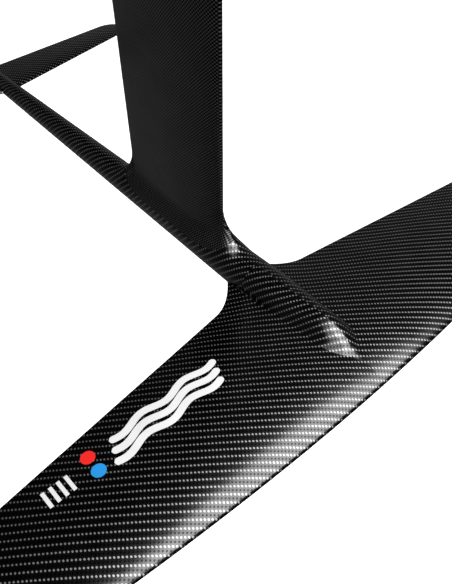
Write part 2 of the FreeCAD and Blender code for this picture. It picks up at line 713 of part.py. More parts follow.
above = block(-FAR, FAR, -FAR, FAR, parting, FAR)
below = block(-FAR, FAR, -FAR, FAR, -FAR, parting)
wing_body = wing_outer.fuse(bump_outer)
wing_hollow = wing_inner.fuse(bump_inner)
wing_shell = wing_body.cut(wing_hollow).cut(wing_cuts)
node(feature("wing_top", wing_shell.common(above)), "front_wing_upper_skin")
node(feature("wing_bottom", wing_shell.common(below)), "front_wing_lower_skin")

half_block = size("block_half_width")
tenon_pocket = block(0, size("tenon_tip") + gap, -size("tenon_width") / 2 - gap,
                     size("tenon_width") / 2 + gap, -size("tenon_depth") / 2 - gap,
                     size("tenon_depth") / 2 + gap)
screw_holes = holes(wing_places, size("wing_screw_radius") + size("screw_clearance"), -MARGIN, 0)
socket_block = wing_hollow.common(block(front + gap, FAR, -half_block, half_block, -MARGIN, MARGIN))
socket_block = socket_block.cut(wing_cuts + screw_holes + [tenon_pocket])
node(feature("wing_socket", socket_block), "front_wing_socket_block")

for side, y_low, y_high in (("port", half_block, FAR), ("starboard", -FAR, -half_block)):
    side_volume = wing_inner.cut(fuselage_room).common(block(-FAR, FAR, y_low, y_high, -FAR, FAR))
    web_x = size("web_front")
    inboard = half_block if y_low > 0 else -half_block
    outboard = math.copysign(size("web_reach"), inboard)
    web_plan = Part.makePolygon([
        Vector(web_x - size("web_width"), inboard, AXIS_LEVEL - MARGIN),
        Vector(web_x, inboard, AXIS_LEVEL - MARGIN),
        Vector(web_x - size("web_taper"), outboard, AXIS_LEVEL - MARGIN),
        Vector(web_x - size("web_taper") - size("web_width"), outboard, AXIS_LEVEL - MARGIN),
        Vector(web_x - size("web_width"), inboard, AXIS_LEVEL - MARGIN)])
    web_room = Part.Face(web_plan).extrude(Vector(0, 0, 2 * MARGIN))
    node(feature(f"web_{side}", side_volume.common(web_room)), f"front_wing_shear_web_{side}")
    node(feature(f"core_{side}", side_volume.cut(web_room)), f"front_wing_core_{side}")

# ---------------------------------------------------------------- stabilizer

tail_outer = tail_solid(0, size("tail_half_span"))
tail_inner = tail_solid(size("tail_skin"), size("tail_core_reach"))
boss_top = seat - size("shim_thickness")
tail_boss = cylinder_between(rear, step - gap, 0).fuse(tail_cap)
tail_boss = tail_boss.common(slab(rear - MARGIN, step - gap, z_high=boss_top))
tail_parting = -size("tail_drop")
tail_washer_radius = 2 * size("tail_screw_radius") + size("washer_rim")
tail_washer_top = -size("tail_screw_seat") + size("tail_screw_radius")
tail_room = cylinder_between(rear, front, -gap).fuse(
    Part.makeSphere(fuselage_radius(rear) + gap, Vector(rear, 0, AXIS_LEVEL)))
tail_room = tail_room.common(slab(rear - MARGIN, front, z_low=boss_top))
fuselage_lower = cylinder_between(step - gap, front, -gap)
tail_cuts = [tail_room, fuselage_lower]
tail_cuts += holes(tail_places, tail_washer_radius, -MARGIN, tail_washer_top)
tail_cuts += holes(tail_places, size("tail_screw_radius") + size("screw_clearance"), -MARGIN, MARGIN)
tail_shell = tail_outer.fuse(tail_boss).cut(tail_inner).cut(tail_cuts)
node(feature("tail_top", tail_shell.common(block(-FAR, 0, -FAR, FAR, tail_parting, FAR))),
     "stabilizer_upper_skin")
node(feature("tail_bottom", tail_shell.common(block(-FAR, 0, -FAR, FAR, -FAR, tail_parting))),
     "stabilizer_lower_skin")
node(feature("tail_middle", tail_inner.cut(tail_cuts)), "stabilizer_core")


# ---------------------------------------------------------------- check and write

def check_document():
    """Stop if any object failed, or any sub-part is empty or invalid."""
    for item in doc.Objects:
        if "Invalid" in item.State or "Error" in item.State:
            raise RuntimeError(f"{item.Name} failed: {item.State}")
    for sub_part in nodes:
        if sub_part.Shape.isNull() or not sub_part.Shape.isValid():
            raise RuntimeError(f"{sub_part.Label} has no valid shape")
        if not sub_part.Shape.Solids:
            raise RuntimeError(f"{sub_part.Label} holds no solid")


doc.recompute()
check_document()
os.makedirs("parts", exist_ok=True)
for sub_part in nodes:
    sub_part.Shape.exportStep(os.path.join("parts", f"{sub_part.Label}.step"))
    solids = len(sub_part.Shape.Solids)
    print(f"{sub_part.Label}: {solids} solid(s), {sub_part.Shape.Volume / 1000:.1f} cm3")
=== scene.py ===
import json
import math

import bmesh
import bpy
import numpy as np
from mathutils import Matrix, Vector


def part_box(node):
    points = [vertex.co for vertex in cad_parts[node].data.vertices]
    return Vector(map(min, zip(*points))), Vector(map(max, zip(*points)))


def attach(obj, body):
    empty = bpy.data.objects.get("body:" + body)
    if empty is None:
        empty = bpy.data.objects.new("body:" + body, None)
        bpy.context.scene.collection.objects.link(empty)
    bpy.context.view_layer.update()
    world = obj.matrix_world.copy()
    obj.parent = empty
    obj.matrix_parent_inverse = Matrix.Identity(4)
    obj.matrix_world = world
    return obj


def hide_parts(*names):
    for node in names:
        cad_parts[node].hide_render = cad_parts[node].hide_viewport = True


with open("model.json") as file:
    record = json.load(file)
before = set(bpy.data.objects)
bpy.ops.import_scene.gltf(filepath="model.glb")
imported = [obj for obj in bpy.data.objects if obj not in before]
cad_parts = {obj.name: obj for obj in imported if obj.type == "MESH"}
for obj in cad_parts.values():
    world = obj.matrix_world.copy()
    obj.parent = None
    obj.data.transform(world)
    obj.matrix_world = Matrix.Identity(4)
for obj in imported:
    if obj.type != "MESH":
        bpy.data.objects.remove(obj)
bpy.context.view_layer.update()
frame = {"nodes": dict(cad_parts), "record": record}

# ---------------------------------------------------------------- sizes
# The foil's curves are worked out in millimetres: x forward, y to port and z up from the fuselage axis.

MM = 0.001
shell_low, shell_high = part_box("mast_fuselage_shell_port")
tenon_low, tenon_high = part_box("fuselage_tenon")
wing_low, wing_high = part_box("front_wing_upper_skin")
tail_low, tail_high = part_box("stabilizer_upper_skin")

AXIS_LEVEL = (tenon_low.z + tenon_high.z) / 2
FUSELAGE_RADIUS = 15.8     # below the middle of the mast
FUSELAGE_GROWTH = 0.019    # of that radius, per millimetre forward
FUSELAGE_FRONT = round(shell_high.x / MM, 1)
FUSELAGE_REAR = -388.0     # centre of the round tail end
TAIL_STEP = -306.0         # where the tail is cut away for the stabilizer
SEAT_HEIGHT = 1.0          # of the cut's flat face
BOSS_TOP = -0.2            # of the stabilizer's boss, which fills the cut

MAST_TOP = round((shell_high.z - AXIS_LEVEL) / MM, 1)
HALF_CHORD = 64.5
FOOT_HALF_THICKNESS = 7.75
HEAD_HALF_THICKNESS = 9.5
MAST_EDGE = 0.6            # half thickness of the trailing edge
FILLET_FRONT = 42.0
FRONT_REACH = 0.75         # forward reach of the front fillet, per its height
FILLET_REAR = 31.0
FILLET_SIDE = 14.5
FILLET_FLOOR = 8.0         # height that the mast's form goes down to inside the fuselage
FOOT_TOP = 62.0            # where the plain mast begins
FOOT_REACH = 112.0         # how far fore and aft the joint is settled

# The fuselage's own cloth runs up its flanks, under the mast's, between these stations.
WRAP_REAR = -73.6
WRAP_FRONT = 79.0
WRAP_ANGLE = 29.0          # degrees above the horizontal
WRAP_END = 45.0            # length over which its edge rises to the crest

WING_LEAD = round(wing_high.x / MM, 1)
WING_LEAD_CURVE = 2.045e-4  # backward, per square millimetre of span
WING_TRAIL = 106.5         # trailing edge run straight to the centreline
WING_TRAIL_SWEEP = 0.135   # forward, per millimetre of span
WING_HALF_SPAN = round(wing_high.y / MM, 1)
WING_ROUND_START = 0.91    # share of the half span where the tip's rounding begins
WING_PLANE = -5.3
ROOT_SPREAD = 52.0         # half width of the root's rearward flare
ROOT_FLARE = 0.0155
BUMP_NARROW = 188.0        # where the bump begins to narrow
BUMP_LOWER = 181.0         # where its crest begins to fall
BUMP_TIP = 216.0
BUMP_TIP_HEIGHT = 3.0
BUMP_REACH = 26.0          # half width of the area where the cloth climbs the bump
CLOTH_TURN = 7.0           # degrees between the wing's threads and the fuselage
CLOTH_HELD = 165.0         # from here forward the bump's cloth runs on unbroken from the wing's

TAIL_HALF_SPAN = round(tail_high.y / MM, 1)
TAIL_ROUND_START = 0.88
TAIL_PLANE = -1.5

MARK_ABOVE = 0.06          # a film's upper face above the wing
MARK_BELOW = 0.05          # its lower face below the wing's surface
WAVE_REAR = 148.5          # x where the rearmost wave starts
WAVE_START = -84.0         # y where it starts
WAVE_COUNT = 2.5           # ripples in each
WAVE_HALF_WIDTH = 3.0
DASH_START = -222.0        # y of the first dash
DOT_SPAN = -203.0          # y of both dots
DOT_RADIUS = 5.4


def fuselage_radius(x):
    return FUSELAGE_RADIUS + FUSELAGE_GROWTH * x


def thickness_form(station):
    """Four-digit thickness form: 0 at the leading edge, 1 at its thickest, 0 at the trailing edge."""
    return (2.969 * np.sqrt(station) - 1.260 * station - 3.516 * station ** 2
            + 2.843 * station ** 3 - 1.036 * station ** 4)


def smooth_step(low, high, value):
    t = np.clip((value - low) / (high - low), 0.0, 1.0)
    return t * t * (3 - 2 * t)


def smooth_max(a, b, width):
    """The larger of two heights, with the crease between them rounded over this width."""
    near = np.maximum(width - np.abs(a - b), 0.0) / width
    return np.maximum(a, b) + near * near * width / 4


def runs(*stretches):
    """Stations along a line: each stretch is (start, end, step)."""
    pieces = [np.linspace(start, end, max(int(round(abs(end - start) / step)), 1), endpoint=False)
              for start, end, step in stretches]
    return np.concatenate(pieces + [np.array([stretches[-1][1]])])


# ---------------------------------------------------------------- mesh helpers

class Skin:
    """Collects grids of points, in millimetres about the fuselage axis, into one closed mesh."""

    def __init__(self):
        self.points = []
        self.faces = []
        self.kinds = []

    def grid(self, points, kind=0, flip=False):
        """Quads over an array of points (rows, columns, 3)."""
        rows, columns = points.shape[:2]
        start = len(self.points)
        self.points.extend(points.reshape(-1, 3).tolist())
        for i in range(rows - 1):
            for j in range(columns - 1):
                a = start + i * columns + j
                quad = (a, a + 1, a + columns + 1, a + columns)
                self.faces.append(quad[::-1] if flip else quad)
                self.kinds.append(kind)

    def both_sides(self, points, kind=0, flip=False):
        """The grid and its mirror image across the centreline."""
        self.grid(points, kind, flip)
        self.grid(points * np.array([1.0, -1.0, 1.0]), kind, not flip)

    def build(self, name, sharp=40.0):
        """Object of the collected grids, merged where they meet and closed where they end."""
        mesh = bpy.data.meshes.new(name)
        spots = np.array(self.points)
        spots[:, 2] += AXIS_LEVEL / MM
        mesh.from_pydata((spots * MM).tolist(), [], self.faces)
        mesh.polygons.foreach_set("material_index", self.kinds)
        obj = bpy.data.objects.new(name, mesh)
        bpy.context.scene.collection.objects.link(obj)
        tidy(obj, sharp)
        return obj


def tidy(obj, sharp):
    """Merge doubles, close what is open, point the faces outwards and mark the sharp edges."""
    bm = bmesh.new()
    bm.from_mesh(obj.data)
    bmesh.ops.remove_doubles(bm, verts=bm.verts, dist=3e-6)
    bmesh.ops.dissolve_degenerate(bm, dist=1e-7, edges=bm.edges)
    bmesh.ops.holes_fill(bm, edges=[e for e in bm.edges if e.is_boundary], sides=0)
    bmesh.ops.recalc_face_normals(bm, faces=bm.faces)
    for face in bm.faces:
        face.smooth = True
    for edge in bm.edges:
        edge.smooth = not edge.is_manifold or edge.calc_face_angle(0.0) < math.radians(sharp)
    bm.to_mesh(obj.data)
    bm.free()


def combine(obj, tool, operation, sharp=40.0):
    """Boolean of an object with a tool object, applied; the tool is used up."""
    step = obj.modifiers.new("combine", "BOOLEAN")
    step.operation = operation
    step.object = tool
    step.solver = "EXACT"
    bpy.context.view_layer.update()
    graph = bpy.context.evaluated_depsgraph_get()
    mesh = bpy.data.meshes.new_from_object(obj.evaluated_get(graph))
    obj.modifiers.clear()
    obj.data = mesh
    bpy.data.objects.remove(tool)
    tidy(obj, sharp)


# ---------------------------------------------------------------- mast and fuselage

def mast_outline():
    """Port side of the mast's foot section, leading edge to the middle of the trailing edge."""
    stations = 0.5 * (1 - np.cos(np.linspace(0, math.pi, 90)))
    side = np.stack([HALF_CHORD - 2 * HALF_CHORD * stations,
                     FOOT_HALF_THICKNESS * thickness_form(stations) + MAST_EDGE * stations], 1)
    return np.vstack([side, [[-HALF_CHORD, 0.0]]])


OUTLINE = mast_outline()


def mast_distance(x, y):
    """Distance from the mast's foot section in plan, and the direction away from it."""
    painted_spot = np.stack([x, y], 1)[:, None, :]
    start, step = OUTLINE[:-1][None], np.diff(OUTLINE, axis=0)[None]
    along = np.clip(((painted_spot - start) * step).sum(2) / (step ** 2).sum(2), 0, 1)
    away = painted_spot - start - along[..., None] * step
    reach = np.sqrt((away ** 2).sum(2))
    nearest = reach.argmin(1)
    pick = np.arange(len(x))
    distance = reach[pick, nearest]
    direction = away[pick, nearest] / np.maximum(distance, 1e-9)[:, None]
    station = np.clip((HALF_CHORD - x) / (2 * HALF_CHORD), 0, 1)
    half = FOOT_HALF_THICKNESS * thickness_form(station) + MAST_EDGE * station
    inside = (np.abs(x) < HALF_CHORD) & (y < half)
    sign = np.where(inside, -1.0, 1.0)
    return distance * sign, direction * sign[:, None]


def foot_field(points):
    """Signed distance from the filleted joint of the mast and the fuselage, and its gradient."""
    x, y, z = points.T
    ring = np.maximum(np.hypot(y, z), 1e-6)
    to_tube = ring - fuselage_radius(x)
    tube_slope = np.stack([np.full_like(x, -FUSELAGE_GROWTH), y / ring, z / ring], 1)
    flat, direction = mast_distance(x, y)
    below = np.maximum(FILLET_FLOOR - z, 0.0)
    to_mast = np.where(flat > 0, np.hypot(flat, below), np.where(below > 0, below, flat))
    outside = np.maximum(np.hypot(np.maximum(flat, 0), below), 1e-9)
    mast_slope = np.stack([direction[:, 0], direction[:, 1], np.zeros_like(x)], 1)
    lean = np.where((below > 0) & (flat > 0), flat / outside, 1.0)
    mast_slope *= lean[:, None]
    mast_slope[:, 2] = np.where(below > 0, -below / outside, 0.0)
    ahead = np.maximum(direction[:, 0], 0) ** 2
    behind = np.maximum(-direction[:, 0], 0) ** 2
    radius = (FILLET_SIDE + (FILLET_FRONT - FILLET_SIDE) * ahead
              + (FILLET_REAR - FILLET_SIDE) * behind)
    squeeze = 1 + (1 / FRONT_REACH - 1) * ahead
    to_mast = to_mast * squeeze
    mast_slope *= squeeze[:, None]
    u = np.maximum(radius - to_tube, 0.0)
    v = np.maximum(radius - to_mast, 0.0)
    corner = np.hypot(u, v)
    nearest = np.minimum(to_tube, to_mast)
    value = np.maximum(radius, nearest) - corner
    blended = (u[:, None] * tube_slope + v[:, None] * mast_slope) / np.maximum(corner, 1e-9)[:, None]
    plain = np.where((to_tube < to_mast)[:, None], tube_slope, mast_slope)
    slope = np.where((nearest > radius)[:, None], plain, blended)
    return value, slope


def settle(points, directions=None, steps=14):
    """Move points onto the joint's surface, along given directions or straight to it."""
    points = points.copy()
    for _ in range(steps):
        value, slope = foot_field(points)
        way = slope if directions is None else directions
        rate = (slope * way).sum(1)
        rate = np.where(np.abs(rate) < 0.15, 0.15, rate)
        points -= np.clip(value / rate, -4, 4)[:, None] * way
    return points


def wrap_angle(x):
    """Angle, in degrees above the horizontal, up to which the fuselage's own cloth runs."""
    from_end = np.minimum(x - WRAP_REAR, WRAP_FRONT - x)
    rise = 1 - np.clip(from_end / WRAP_END, 0, 1)
    wrapped = WRAP_ANGLE + (90 - WRAP_ANGLE) * (1 - np.sqrt(1 - rise ** 2))
    return np.where(from_end < 0, 90.0, wrapped)


def fuselage_columns():
    """Stations of the fuselage, front to tail: x and the ring's radius there."""
    bend = 1 - np.cos(np.linspace(0, math.pi / 2, 30))
    front_end = WRAP_FRONT - WRAP_END * bend
    rear_end = (WRAP_REAR + WRAP_END * bend)[::-1]
    middle = runs((front_end[-1], rear_end[0], 1.5))[1:-1]
    ahead = runs((FUSELAGE_FRONT, WRAP_FRONT, 1.2))[:-1]
    behind = runs((WRAP_REAR, -110, 1.6), (-110, TAIL_STEP, 4.0))[1:]
    wrapped = np.concatenate([front_end, middle, rear_end])
    x = np.concatenate([ahead, wrapped, behind])
    return x, slice(len(ahead), len(ahead) + len(wrapped))


def arc_rows(x, ring, top_angle):
    """Angles of one column's rows: bottom to the seat's level, then on to the top."""
    seat_angle = np.degrees(np.arcsin(np.clip(SEAT_HEIGHT / ring, -1, 1)))
    t_low = np.linspace(0, 1, 23)[:, None]
    t_high = np.linspace(0, 1, 37)[1:, None]
    low = -90 + (seat_angle + 90) * t_low
    high = seat_angle + (top_angle - seat_angle) * t_high
    return np.radians(np.vstack([low, high])), len(t_low) - 1


def build_mast_and_fuselage():
    skin = Skin()
    x, wrapped = fuselage_columns()
    ring = fuselage_radius(x)
    angles, seat_row = arc_rows(x, ring, wrap_angle(x))
    ways = np.stack([np.zeros_like(angles), np.cos(angles), np.sin(angles)], 2)
    ways[np.abs(ways) < 1e-12] = 0.0
    tube = ways * ring[None, :, None]
    tube[..., 0] = x[None, :]
    near = np.abs(x) < FOOT_REACH
    block = tube[:, near].reshape(-1, 3)
    tube[:, near] = settle(block, ways[:, near].reshape(-1, 3)).reshape(tube[:, near].shape)
    skin.both_sides(tube, kind=0)

    cap_ring = fuselage_radius(FUSELAGE_REAR)
    turn = np.linspace(0, math.acos(SEAT_HEIGHT / cap_ring), 12)[1:]
    straight = runs((TAIL_STEP, FUSELAGE_REAR, 4.0))
    tail_x = np.concatenate([straight, FUSELAGE_REAR - cap_ring * np.sin(turn)])
    tail_ring = np.concatenate([fuselage_radius(straight), cap_ring * np.cos(turn)])
    tail_angles, _ = arc_rows(tail_x, tail_ring, np.full_like(tail_x, 90.0))
    tail = np.stack([np.broadcast_to(tail_x, tail_angles.shape), tail_ring * np.cos(tail_angles),
                     tail_ring * np.sin(tail_angles)], 2)
    across = np.linspace(0, 1, seat_row + 1)[:, None]
    tail[:seat_row + 1, :, 1] = across * tail[seat_row, :, 1]
    tail[:seat_row + 1, :, 2] = SEAT_HEIGHT
    tail[-1, :, 1] = 0.0
    skin.both_sides(tail, kind=0)
    step_face = np.stack([tube[:seat_row + 1, -1], tail[:seat_row + 1, 0]], 1)
    skin.both_sides(step_face, kind=0)

    edge = tube[-1, wrapped][::-1]
    count = len(edge)
    flat_columns = 3
    span = (edge[:, 0] - edge[flat_columns, 0]) / (edge[-1, 0] - edge[flat_columns, 0])
    station = 1 - np.clip(span, 0, 1)
    side = FOOT_HALF_THICKNESS * thickness_form(station) + MAST_EDGE * station
    side[:flat_columns] = MAST_EDGE * np.arange(flat_columns) / flat_columns
    side[-1] = 0.0
    mast_x = HALF_CHORD - 2 * HALF_CHORD * station
    top = np.stack([mast_x, side, np.full(count, FOOT_TOP)], 1)
    gap = np.hypot(*(edge - top)[:, :2].T)
    knee = np.stack([mast_x, side, np.minimum(edge[:, 2] + 1.1 * gap, FOOT_TOP - 2)], 1)
    t = (np.linspace(0, 1, 34) ** 1.25)[:, None, None]
    foot = (1 - t) ** 2 * edge + 2 * t * (1 - t) * knee + t ** 2 * top
    inner = foot[1:-1].reshape(-1, 3)
    foot[1:-1] = settle(inner).reshape(foot[1:-1].shape)
    foot[:, (0, -1), 1] = 0.0
    skin.both_sides(foot, kind=1)

    heights = runs((FOOT_TOP, MAST_TOP, 15.0))[:, None]
    growth = (heights - FOOT_TOP) / (MAST_TOP - FOOT_TOP)
    half = FOOT_HALF_THICKNESS + (HEAD_HALF_THICKNESS - FOOT_HALF_THICKNESS) * growth
    plain = half * thickness_form(station) + MAST_EDGE * station
    plain[:, :flat_columns] = side[:flat_columns]
    plain[:, -1] = 0.0
    mast = np.stack([np.broadcast_to(mast_x, plain.shape), plain,
                     np.broadcast_to(heights, plain.shape)], 2)
    mast[0] = foot[-1]
    skin.both_sides(mast, kind=1)
    return skin.build("mast_fuselage_skin")


# ---------------------------------------------------------------- front wing

def round_tip(outboard, start, lead, trail):
    """Edges drawn together towards a round tip, and the share of the thickness left there."""
    left = np.sqrt(np.maximum(1 - (np.maximum(outboard - start, 0) / (1 - start)) ** 2, 0))
    middle = 0.45 * lead + 0.55 * trail
    return middle + left * (lead - middle), middle + left * (trail - middle), left


def spans_to_tip(inner, half_span, start, count):
    """Stations across the span: the given inner ones, then closer and closer to the tip."""
    turn = np.linspace(0, math.pi / 2, count)[1:]
    return np.concatenate([inner, half_span * (start + (1 - start) * np.sin(turn))])


def wing_plan(y):
    """Leading edge, trailing edge, thickness and camber of the front wing at a distance from the centre."""
    lead = WING_LEAD - WING_LEAD_CURVE * y ** 2
    trail = WING_TRAIL + WING_TRAIL_SWEEP * y
    outboard = y / WING_HALF_SPAN
    thickness = (lead - trail) * (0.105 - 0.005 * outboard)
    camber = (lead - trail) * (0.020 - 0.002 * outboard)
    lead, trail, rounding = round_tip(outboard, WING_ROUND_START, lead, trail)
    trail = trail - ROOT_FLARE * np.maximum(ROOT_SPREAD - y, 0) ** 2
    return lead, trail, thickness * rounding, camber * rounding


def bump_heights(x, y):
    """Roof and hull of the bump that carries the fuselage's line over the wing, and its half width."""
    radius = fuselage_radius(x)
    narrowing = np.clip((x - BUMP_NARROW) / (BUMP_TIP - BUMP_NARROW), 0, 1.1)
    lowering = np.clip((x - BUMP_LOWER) / (BUMP_TIP - BUMP_LOWER), 0, 1)
    belly = np.clip((x - FUSELAGE_FRONT) / (BUMP_TIP - FUSELAGE_FRONT), 0, 1.2)
    peaking = smooth_step(FUSELAGE_FRONT + 12, FUSELAGE_FRONT + 82, x)
    waist = smooth_step(FUSELAGE_FRONT + 22, BUMP_NARROW, x)
    half_width = radius * (1 - 0.10 * waist - 0.55 * narrowing ** 2.2)
    across = y / half_width
    dome = np.maximum(1 - across ** 2, 0.0)
    skirt = 3.0 * np.maximum(across - 1, 0.0) * half_width
    skirt = skirt + 0.5 * np.maximum(x - BUMP_TIP, 0.0)
    roof = BUMP_TIP_HEIGHT + (radius - BUMP_TIP_HEIGHT) * (1 - lowering ** 1.7) ** 0.75
    hull = radius * (1 - 0.9 * belly ** 3)
    return roof * dome ** (0.5 + 0.28 * peaking) - skirt, hull * np.sqrt(dome) - skirt, half_width


def wing_heights(x, y):
    """Heights of the front wing's upper and lower faces, with the bump and the belly."""
    lead, trail, thickness, camber = wing_plan(y)
    chord = np.maximum(lead - trail, 1e-6)
    station = np.clip((lead - x) / chord, 0, 1)
    middle = WING_PLANE + 4 * camber * station * (1 - station)
    reach = thickness / 2 * thickness_form(station) + 0.5 * station * np.minimum(chord / 20, 1)
    roof, hull, _ = bump_heights(x, y)
    width = 1.0 + 5.0 * smooth_step(120, 205, x)
    upper = smooth_max(middle + reach, roof, width)
    lower = -smooth_max(reach - middle, hull, width)
    aft = x < FUSELAGE_FRONT
    upper = np.where(aft, middle + reach, upper)
    lower = np.where(aft, middle - reach, lower)
    nose = station <= 0
    return np.where(nose, WING_PLANE, upper), np.where(nose, WING_PLANE, lower)


def build_front_wing():
    inner = 16.8    # half width of the root that ends at the fuselage's front face
    seam = FUSELAGE_FRONT + 0.05
    inboard = runs((0, 15, 0.5), (15, inner, 0.3), (inner, 20, 0.25), (20, 32, 0.6),
                   (32, 60, 1.5), (60, WING_ROUND_START * WING_HALF_SPAN, 6.0))
    y = spans_to_tip(inboard, WING_HALF_SPAN, WING_ROUND_START, 16)
    lead, trail, _, _ = wing_plan(y)
    outer_split = lead - 0.86 * (lead - trail)    # where the rows change from fine to coarse
    split = seam + (outer_split - seam) * smooth_step(22, 66, y)
    trail = np.where(y <= inner + 0.01, seam, trail)
    bend = 1 - np.cos(np.linspace(0, math.pi / 2, 115))[:, None]
    ahead = lead + (split - lead) * bend
    behind = split + (trail - split) * np.linspace(0, 1, 19)[1:, None]
    x = np.vstack([ahead, behind])
    x[:, -1] = x[:, -1].mean()
    spread = np.broadcast_to(y, x.shape)
    upper, lower = wing_heights(x, spread)
    upper[:, -1] = WING_PLANE
    lower[:, -1] = WING_PLANE
    top = np.stack([x, spread, upper], 2)
    bottom = np.stack([x, spread, lower], 2)
    skin = Skin()
    skin.both_sides(top)
    skin.both_sides(bottom, flip=True)
    skin.both_sides(np.stack([top[-1], bottom[-1]], 1))
    wing = skin.build("front_wing_skin")
    for centre, radius, roof in recesses("front_wing_cup_washers"):
        combine(wing, drum("recess", centre, radius, roof), "DIFFERENCE")
    return wing


# ---------------------------------------------------------------- recesses for the screws

def recesses(node):
    """Centre, radius and top of each cup washer in a node that holds a front and a rear one."""
    clearance = 0.00005
    low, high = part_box(node)
    radius = (high.y - low.y) / 2
    for x in (low.x + radius, high.x - radius):
        yield x, radius + clearance, high.z


def drum(name, x, radius, roof, depth=0.03):
    """Upright drum on the centreline, from well below up to its roof."""
    sides = 96
    turns = np.linspace(0, 2 * math.pi, sides + 1)[:-1]
    bm = bmesh.new()
    rings = [[bm.verts.new((x + radius * math.cos(a), radius * math.sin(a), z)) for a in turns]
             for z in (roof - depth, roof)]
    for k in range(sides):
        after = (k + 1) % sides
        bm.faces.new((rings[0][k], rings[0][after], rings[1][after], rings[1][k]))
    bm.faces.new(rings[0][::-1])
    bm.faces.new(rings[1])
    mesh = bpy.data.meshes.new(name)
    bm.to_mesh(mesh)
    bm.free()
    obj = bpy.data.objects.new(name, mesh)
    bpy.context.scene.collection.objects.link(obj)
    return obj


# ---------------------------------------------------------------- stabilizer

def tail_plan(y):
    """Leading edge, trailing edge and thickness of the stabilizer at a distance from the centre."""
    outboard = y / TAIL_HALF_SPAN
    lead = -319.5 - 0.19 * y
    trail = -386.0 - 0.03 * y
    thickness = 8.0 * (1 - 0.5 * outboard)
    lead, trail, rounding = round_tip(outboard, TAIL_ROUND_START, lead, trail)
    return lead, trail, thickness * rounding


def tail_form(name, front, grow, upwards):
    """Half of the fuselage's round tail above or below the stabilizer's seat, as a closed form."""
    cap_ring = fuselage_radius(FUSELAGE_REAR) + grow
    turn = np.linspace(0, math.acos(0.3 / cap_ring), 14)[1:]
    straight = runs((front, FUSELAGE_REAR, 5.0))
    x = np.concatenate([straight, FUSELAGE_REAR - cap_ring * np.sin(turn)])
    ring = np.concatenate([fuselage_radius(straight) + grow, cap_ring * np.cos(turn)])
    level = np.arcsin(np.clip(BOSS_TOP / ring, -1, 1))
    end = math.pi / 2 if upwards else -math.pi / 2
    t = np.linspace(0, 1, 25)[:, None]
    angles = level + (end - level) * t
    round_side = np.stack([np.broadcast_to(x, angles.shape), ring * np.cos(angles),
                           ring * np.sin(angles)], 2)
    round_side[-1, :, 1] = 0.0
    flat_side = np.stack([round_side[0] * np.array([1, 0, 1]), round_side[0]], 0)
    skin = Skin()
    skin.both_sides(round_side)
    skin.both_sides(flat_side)
    return skin.build(name)


def build_stabilizer():
    y = spans_to_tip(runs((0, TAIL_ROUND_START * TAIL_HALF_SPAN, 4.0)), TAIL_HALF_SPAN,
                     TAIL_ROUND_START, 14)
    lead, trail, thickness = tail_plan(y)
    station = 0.5 * (1 - np.cos(np.linspace(0, math.pi, 60)))[:, None]
    x = lead + (trail - lead) * station
    reach = thickness / 2 * thickness_form(station) + 0.4 * station * (y < TAIL_HALF_SPAN - 0.01)
    reach[0] = 0.0
    spread = np.broadcast_to(y, x.shape)
    top = np.stack([x, spread, TAIL_PLANE + reach], 2)
    bottom = np.stack([x, spread, TAIL_PLANE - reach], 2)
    skin = Skin()
    skin.both_sides(top)
    skin.both_sides(bottom, flip=True)
    skin.both_sides(np.stack([top[-1], bottom[-1]], 1))
    stabilizer = skin.build("stabilizer_skin")
    combine(stabilizer, tail_form("tail_boss", TAIL_STEP - 0.1, 0.0, False), "UNION")
    combine(stabilizer, tail_form("tail_room", -200.0, 0.1, True), "DIFFERENCE")
    for centre, radius, roof in recesses("stabilizer_cup_washers"):
        combine(stabilizer, drum("recess", centre, radius, roof), "DIFFERENCE")
    return stabilizer


# ---------------------------------------------------------------- lay of the cloth

def lay_cloth(obj, rule):
    """Store how far each point's place in the flat cloth lies from its place in plan.

    The rule gives the place in the cloth from x, y, z and the side, 1 for port and -1 for starboard.
    """
    mesh = obj.data
    spots = np.empty(3 * len(mesh.vertices))
    mesh.vertices.foreach_get("co", spots)
    corners = np.empty(len(mesh.loops), np.int32)
    mesh.loops.foreach_get("vertex_index", corners)
    counts = np.empty(len(mesh.polygons), np.int32)
    mesh.polygons.foreach_get("loop_total", counts)
    centres = np.empty(3 * len(mesh.polygons))
    mesh.polygons.foreach_get("center", centres)
    side = np.repeat(np.where(centres[1::3] < 0, -1.0, 1.0), counts)
    x, y, z = spots.reshape(-1, 3)[corners].T / MM
    cloth_x, cloth_y = rule(x, y, z - AXIS_LEVEL / MM, side)
    offset = np.stack([cloth_x - x, cloth_y - y, np.zeros_like(x)], 1) * MM
    layer = mesh.attributes.new("drape", "FLOAT_VECTOR", "CORNER")
    layer.data.foreach_set("vector", offset.ravel())


def round_fuselage(x, y, z, side):
    """Cloth wrapped round the fuselage from its crest."""
    return x, side * fuselage_radius(x) * np.arctan2(side * y, z)


def climb_of_section():
    """Extra length of cloth, per chord, from mid chord forward to each station."""
    half_thickness = 0.0515    # per chord, about the mean over the span
    station = 0.5 * np.linspace(0, 1, 400) ** 2
    height = half_thickness * thickness_form(station)
    length = np.hypot(np.diff(station), np.diff(height)) - np.diff(station)
    return station, np.concatenate([np.cumsum(length[::-1])[::-1], [0.0]])


def climb_of_bump():
    """Extra length of cloth from the crest of the bump outwards, on a grid of x and y."""
    x = np.linspace(FUSELAGE_FRONT, BUMP_TIP + 3, 60)[:, None]
    y = np.linspace(0, BUMP_REACH, 131)
    heights, _ = wing_heights(np.broadcast_to(x, (60, 131)), np.broadcast_to(y, (60, 131)))
    length = np.hypot(np.diff(heights, axis=1), np.diff(y)) - np.diff(y)
    return x[:, 0], y, np.hstack([np.zeros((60, 1)), np.cumsum(length, axis=1)])


